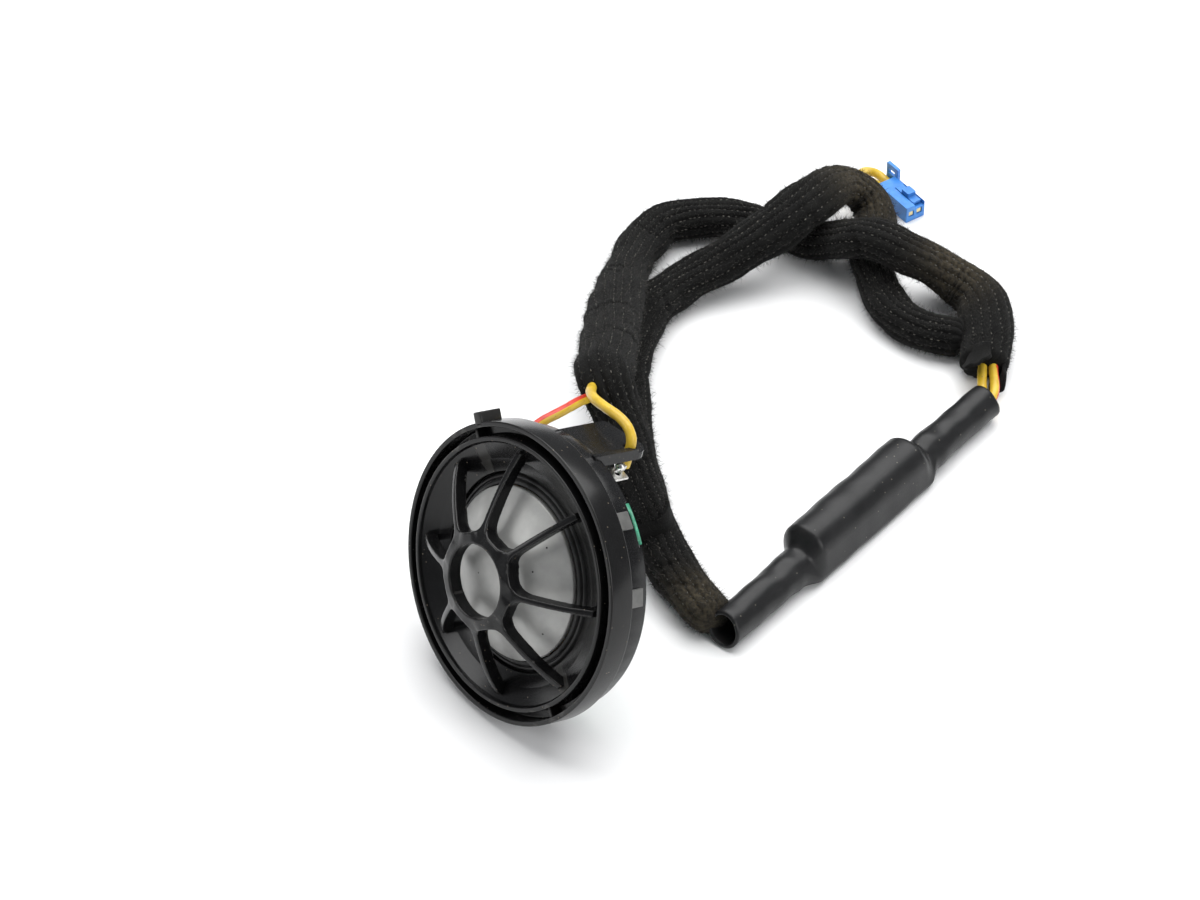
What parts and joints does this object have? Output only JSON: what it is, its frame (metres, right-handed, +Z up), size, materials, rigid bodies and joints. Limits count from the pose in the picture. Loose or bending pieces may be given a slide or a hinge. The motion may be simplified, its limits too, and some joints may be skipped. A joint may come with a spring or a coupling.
{
  "type": "car tweeter",
  "caption": "Round dome tweeter with a curved-blade grille, cup motor and a taped lead that carries an in-line crossover sleeve and a small plug.",
  "frame": {"origin": "on the table, under the middle of the tweeter with its wire shelf (the lead is not counted)", "axes": "+Z up; -Y towards the tweeter's front, which also tilts 19.5 degrees up; +X across the tweeter"},
  "size_m": [0.0902, 0.1284, 0.0427],
  "materials": {
    "moulded_black": "semi-gloss moulded black plastic",
    "housing_black": "semi-gloss moulded black plastic",
    "board_green": "lacquered circuit board",
    "tinned": "bright tinned metal",
    "solder": "bright solder",
    "brass_rivet": "satin brass",
    "foam": "matt foam",
    "frame_black": "matt moulded plastic",
    "surround_black": "coated cloth",
    "dome_grey": "satin coated cloth",
    "former_kapton": "amber film",
    "copper": "enamelled copper",
    "felt": "felt",
    "plated_steel": "zinc plated steel",
    "magnet_grey": "nickel plated magnet",
    "yellow_wire": "yellow PVC insulation",
    "striped_wire": "yellow PVC insulation with a red stripe",
    "fleece_tape": "black fleece harness tape",
    "shrink_tube": "satin heat-shrink tube",
    "capacitor_blue": "sleeved capacitor body",
    "connector_blue": "blue moulded nylon",
    "lock_blue": "darker blue moulded nylon"
  },
  "bodies": {
    "root": {"front_grille": "moulded_black", "rear_housing": "housing_black", "housing_clips": "housing_black", "terminal_board": "board_green", "plus_lug": "tinned", "minus_lug": "tinned", "lug_rivets": "brass_rivet", "solder_joints": "solder", "foam_gasket": "foam", "diaphragm_frame": "frame_black", "surround": "surround_black", "coil_tinsel_leads": "copper", "damping_pad": "felt", "pole_cap": "plated_steel", "magnet": "magnet_grey", "top_plate": "plated_steel", "motor_cup": "plated_steel", "plain_wire": "yellow_wire", "striped_wire": "striped_wire", "tweeter_lead": "fleece_tape", "connector_lead": "fleece_tape", "sleeve_wires": "yellow_wire", "heat_shrink_sleeve": "shrink_tube", "crossover_capacitor": "capacitor_blue", "capacitor_leads": "tinned", "crimp_splices": "tinned", "bypass_wire": "yellow_wire", "plug_wires": "yellow_wire", "connector_housing": "connector_blue", "connector_contacts": "tinned"},
    "coil_assembly": {"dome_diaphragm": "dome_grey", "voice_coil_former": "former_kapton", "voice_coil_winding": "copper"},
    "latch": {"connector_latch": "connector_blue"},
    "lock": {"connector_lock": "lock_blue"}
  },
  "joints": [
    {"name": "coil_travel", "type": "slide", "parent": "root", "child": "coil_assembly", "axis": [0, -0.9426, 0.3338], "range_m": [-0.0004, 0.0004], "stiffness_N_per_m": 600, "deforming": ["surround", "coil_tinsel_leads"]},
    {"name": "latch_flex", "type": "hinge", "parent": "root", "child": "latch", "pos_m": [-0.04925, 0.11073, 0.0026], "axis": [0.0698, 0.9976, 0], "range_deg": [0, 4], "stiffness_Nm_per_rad": 0.02},
    {"name": "lock_slide", "type": "slide", "parent": "root", "child": "lock", "axis": [-0.0698, -0.9976, 0], "range_m": [0, 0.0008]}
  ]
}
